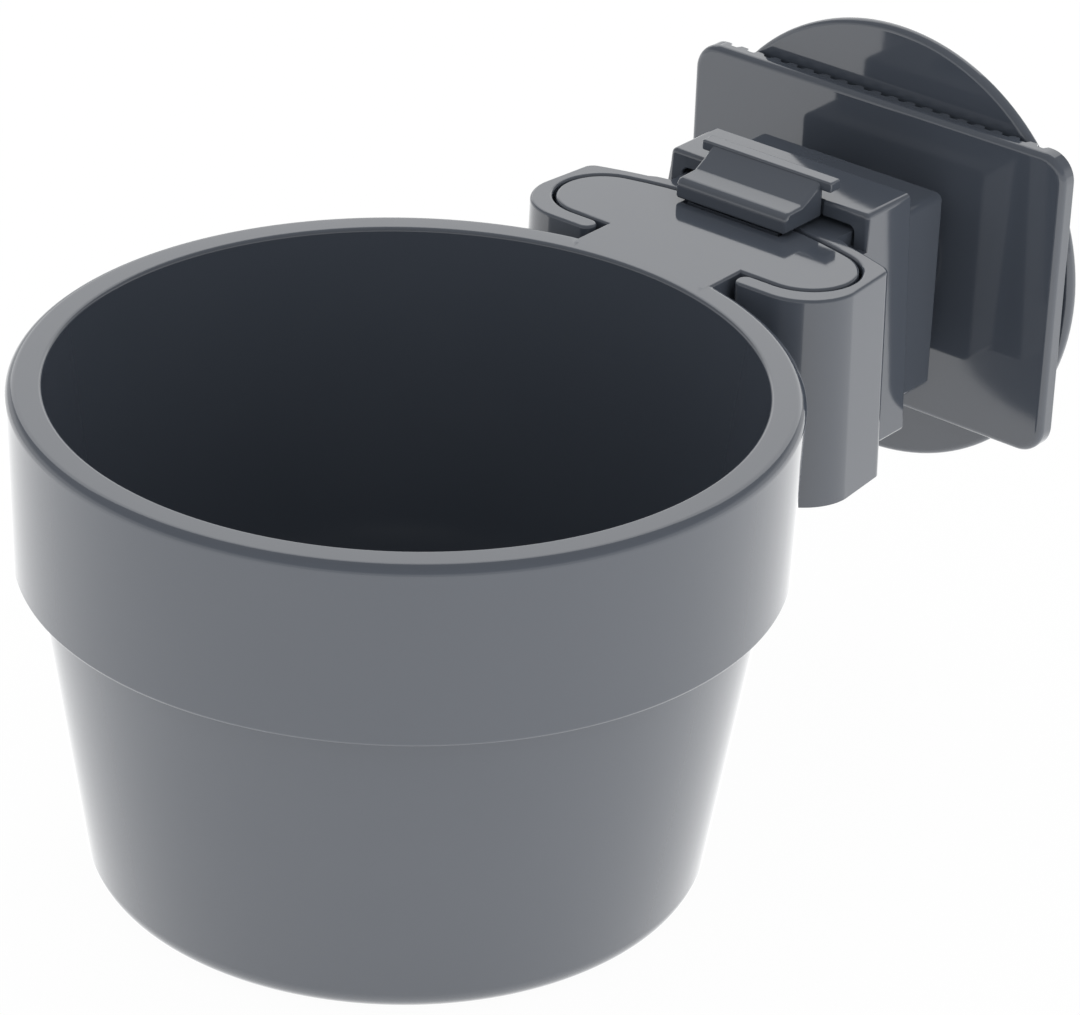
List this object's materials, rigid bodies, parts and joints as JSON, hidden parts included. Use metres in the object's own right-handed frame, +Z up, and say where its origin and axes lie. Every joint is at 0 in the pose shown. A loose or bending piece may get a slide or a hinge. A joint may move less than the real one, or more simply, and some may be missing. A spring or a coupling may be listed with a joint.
{
  "type": "clamp-on cage feeding bowl",
  "caption": "Round feeding bowl that lifts out of a latched holder, carried by a neck with a toothed plate and screw-down disc that clamp onto cage wires.",
  "frame": {"origin": "on the clamp screw's axis, in the plane of the plate's tooth crests where the cage wires are gripped", "axes": "+Y along the clamp screw, from the bowl to the cage; +Z up; +X to the right as seen from the bowl"},
  "size_m": [0.1, 0.1681, 0.0853],
  "materials": {
    "grey_plastic": "gloss",
    "screw_steel": "satin"
  },
  "bodies": {
    "bracket": {"holder": "grey_plastic", "clamp_plate": "grey_plastic", "neck_screw_1": "screw_steel", "neck_screw_2": "screw_steel", "neck_screw_3": "screw_steel", "neck_screw_4": "screw_steel"},
    "bowl": {"bowl": "grey_plastic"},
    "latch": {"latch_slide": "grey_plastic"},
    "disc": {"clamp_disc": "grey_plastic"},
    "screw": {"clamp_screw": "grey_plastic"}
  },
  "joints": [
    {"name": "bowl_lift", "type": "slide", "parent": "bracket", "child": "bowl", "axis": [0, 0, 1], "range_m": [0, 0.04]},
    {"name": "latch_lock", "type": "slide", "parent": "bracket", "child": "latch", "axis": [0, -1, 0], "range_m": [0, 0.0035]},
    {"name": "clamp_travel", "type": "slide", "parent": "bracket", "child": "disc", "axis": [0, 1, 0], "range_m": [0, 0.0121]},
    {"name": "clamp_turn", "type": "hinge", "parent": "disc", "child": "screw", "pos_m": [0, 0, 0], "axis": [0, 1, 0], "range_deg": [0, 1440]}
  ],
  "couplings": [
    {"joint": "clamp_travel", "follows": "clamp_turn", "m_per_rad": 0.00047746}
  ]
}
